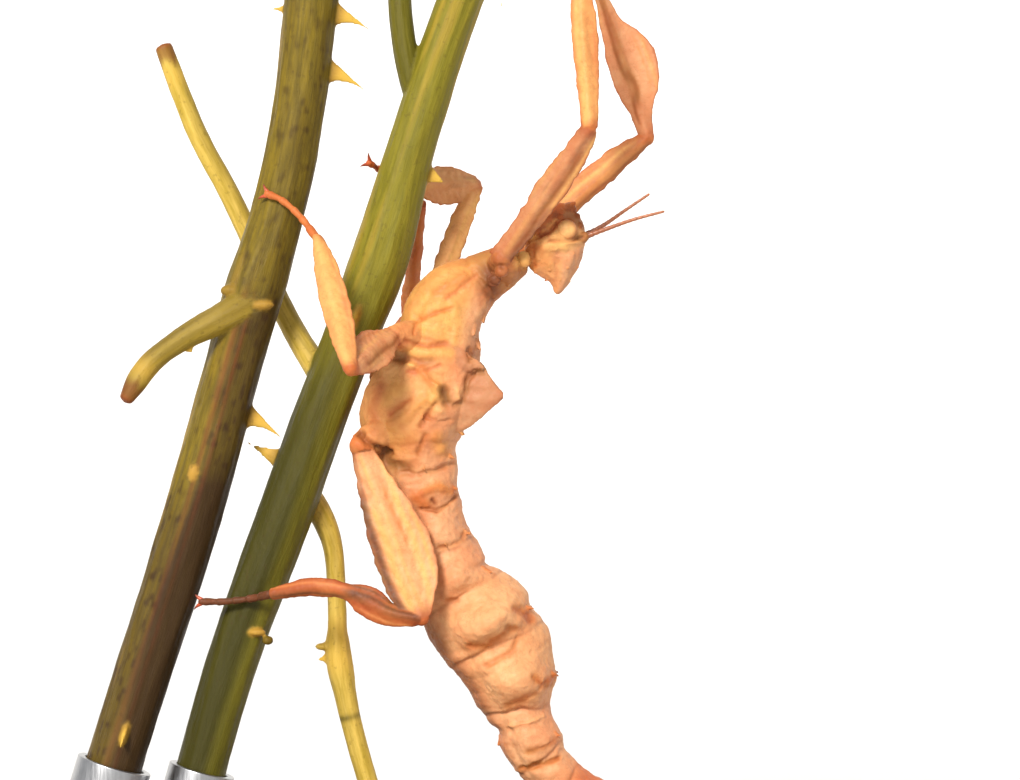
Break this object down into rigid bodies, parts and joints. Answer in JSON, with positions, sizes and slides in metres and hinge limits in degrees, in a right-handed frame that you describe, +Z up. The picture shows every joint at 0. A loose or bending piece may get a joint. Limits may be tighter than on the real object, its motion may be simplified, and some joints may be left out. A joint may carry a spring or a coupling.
{
  "type": "stick insect",
  "caption": "Life-size museum model of a late-instar female giant prickly stick insect climbing cut rose stems, held by a flat base with short rods.",
  "frame": {"origin": "middle of the base plate's underside, on the surface that it stands on", "axes": "+Z up; +X towards the insect's back, away from the stems; -Y towards the insect's left side, which the picture shows"},
  "size_m": [0.084, 0.062, 0.1414],
  "materials": {
    "cuticle": "sandy orange cuticle, finely grained, satin on the ridges",
    "tail_cuticle": "deeper orange cuticle, satin",
    "limb_cuticle": "dry leafy cuticle with fine veins, matte",
    "foot_cuticle": "red-brown cuticle, satin",
    "eye": "dark brown, glossy",
    "feeler": "red-brown, matte",
    "old_stem": "olive bark turning brown, faintly glossy",
    "green_stem": "green bark with pale streaks, faintly glossy",
    "twig": "yellow-green bark, satin",
    "stand_wood": "dark stained wood, satin lacquer",
    "stand_steel": "brushed steel"
  },
  "bodies": {
    "root": {"abdomen_2": "cuticle", "abdomen_3": "cuticle", "abdomen_4": "cuticle", "abdomen_5": "cuticle", "abdomen_6": "cuticle", "abdomen_7": "cuticle", "abdomen_8": "cuticle", "tail": "tail_cuticle", "prothorax": "cuticle", "mesothorax": "cuticle", "metathorax": "cuticle", "head": "cuticle", "eye_left": "eye", "eye_right": "eye", "antenna_left": "feeler", "antenna_right": "feeler", "front_left_coxa": "cuticle", "front_left_femur": "limb_cuticle", "front_left_tibia": "limb_cuticle", "front_left_foot": "foot_cuticle", "front_right_coxa": "cuticle", "front_right_femur": "limb_cuticle", "front_right_tibia": "limb_cuticle", "front_right_foot": "foot_cuticle", "middle_left_coxa": "cuticle", "middle_left_femur": "limb_cuticle", "middle_left_tibia": "limb_cuticle", "middle_left_foot": "foot_cuticle", "middle_right_coxa": "cuticle", "middle_right_femur": "limb_cuticle", "middle_right_tibia": "limb_cuticle", "middle_right_foot": "foot_cuticle", "hind_left_coxa": "cuticle", "hind_left_femur": "limb_cuticle", "hind_left_tibia": "limb_cuticle", "hind_left_foot": "foot_cuticle", "hind_right_coxa": "cuticle", "hind_right_femur": "limb_cuticle", "hind_right_tibia": "limb_cuticle", "hind_right_foot": "foot_cuticle", "stem_left": "old_stem", "stem_front": "green_stem", "stem_fork": "green_stem", "twig_upper_left": "twig", "twig_lower_left": "twig", "twig_right": "twig", "stand_base": "stand_wood", "stand_rod_left": "stand_steel", "stand_rod_front": "stand_steel"}
  },
  "joints": []
}
